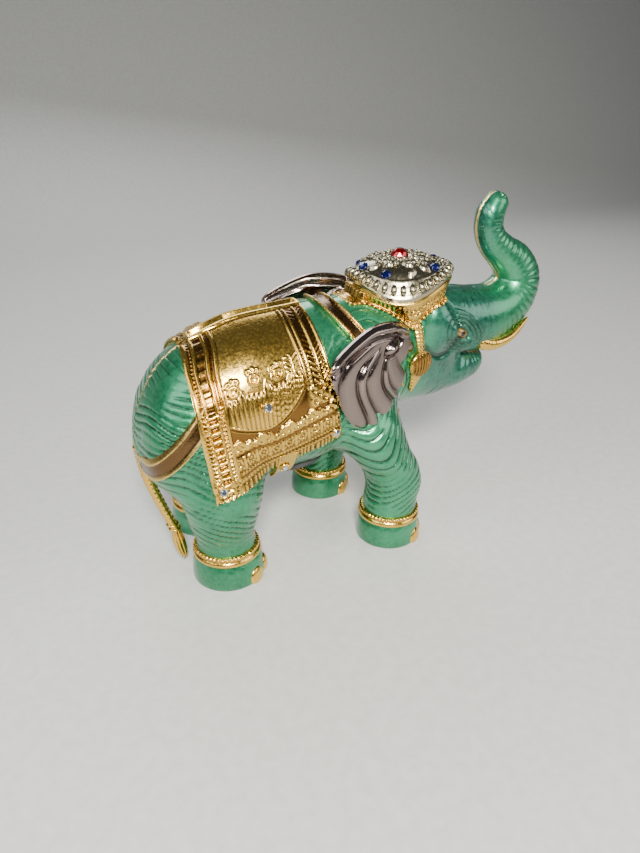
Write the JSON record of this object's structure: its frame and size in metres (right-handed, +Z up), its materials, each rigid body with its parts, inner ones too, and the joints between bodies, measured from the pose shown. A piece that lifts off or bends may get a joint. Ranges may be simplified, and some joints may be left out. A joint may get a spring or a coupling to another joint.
{
  "type": "elephant coin bank",
  "caption": "Enamelled cast elephant money bank with raised trunk, gilt saddle cloth and straps, pewter ears and jewelled cap, coin slot in the back and a stopper under the belly.",
  "frame": {"origin": "middle of the overall box in X and Y, on the surface that the four soles stand on", "axes": "+X forward, towards the trunk; +Y the elephant's left; +Z up"},
  "size_m": [0.1225, 0.0495, 0.0917],
  "materials": {
    "enamel": "translucent green enamel over textured cast metal",
    "gilt": "bright gold plating, dark in the recesses",
    "pewter": "polished pewter, darkened in the recesses",
    "ruby": "cut red glass",
    "sapphire": "cut blue glass",
    "crystal": "cut clear glass, foiled",
    "amber": "amber glass eye",
    "steel": "bright steel",
    "rubber": "matte black rubber"
  },
  "bodies": {
    "bank": {"right_shell": "enamel", "left_shell": "enamel", "head_medallion": "pewter", "right_ear": "pewter", "left_ear": "pewter", "medallion_ruby": "ruby", "medallion_sapphires": "sapphire", "right_crystals": "crystal", "left_crystals": "crystal", "girth_crystals": "crystal", "right_eye": "amber", "left_eye": "amber", "shell_screws": "steel", "locating_pins": "steel", "right_saddle_cloth": "gilt", "left_saddle_cloth": "gilt", "girth_strap": "gilt", "crupper_strap": "gilt", "neck_strap": "gilt", "throat_bell": "gilt", "headdress_collar": "gilt", "right_cheek_pendant": "gilt", "left_cheek_pendant": "gilt", "right_tusk": "gilt", "left_tusk": "gilt", "tail": "gilt", "right_front_anklet": "gilt", "left_front_anklet": "gilt", "right_rear_anklet": "gilt", "left_rear_anklet": "gilt", "right_front_toenails": "gilt", "left_front_toenails": "gilt", "right_rear_toenails": "gilt", "left_rear_toenails": "gilt"},
    "stopper": {"belly_plug": "rubber"}
  },
  "joints": [
    {"name": "stopper_pull", "type": "slide", "parent": "bank", "child": "stopper", "axis": [0, 0, -1], "range_m": [0, 0.012]}
  ]
}
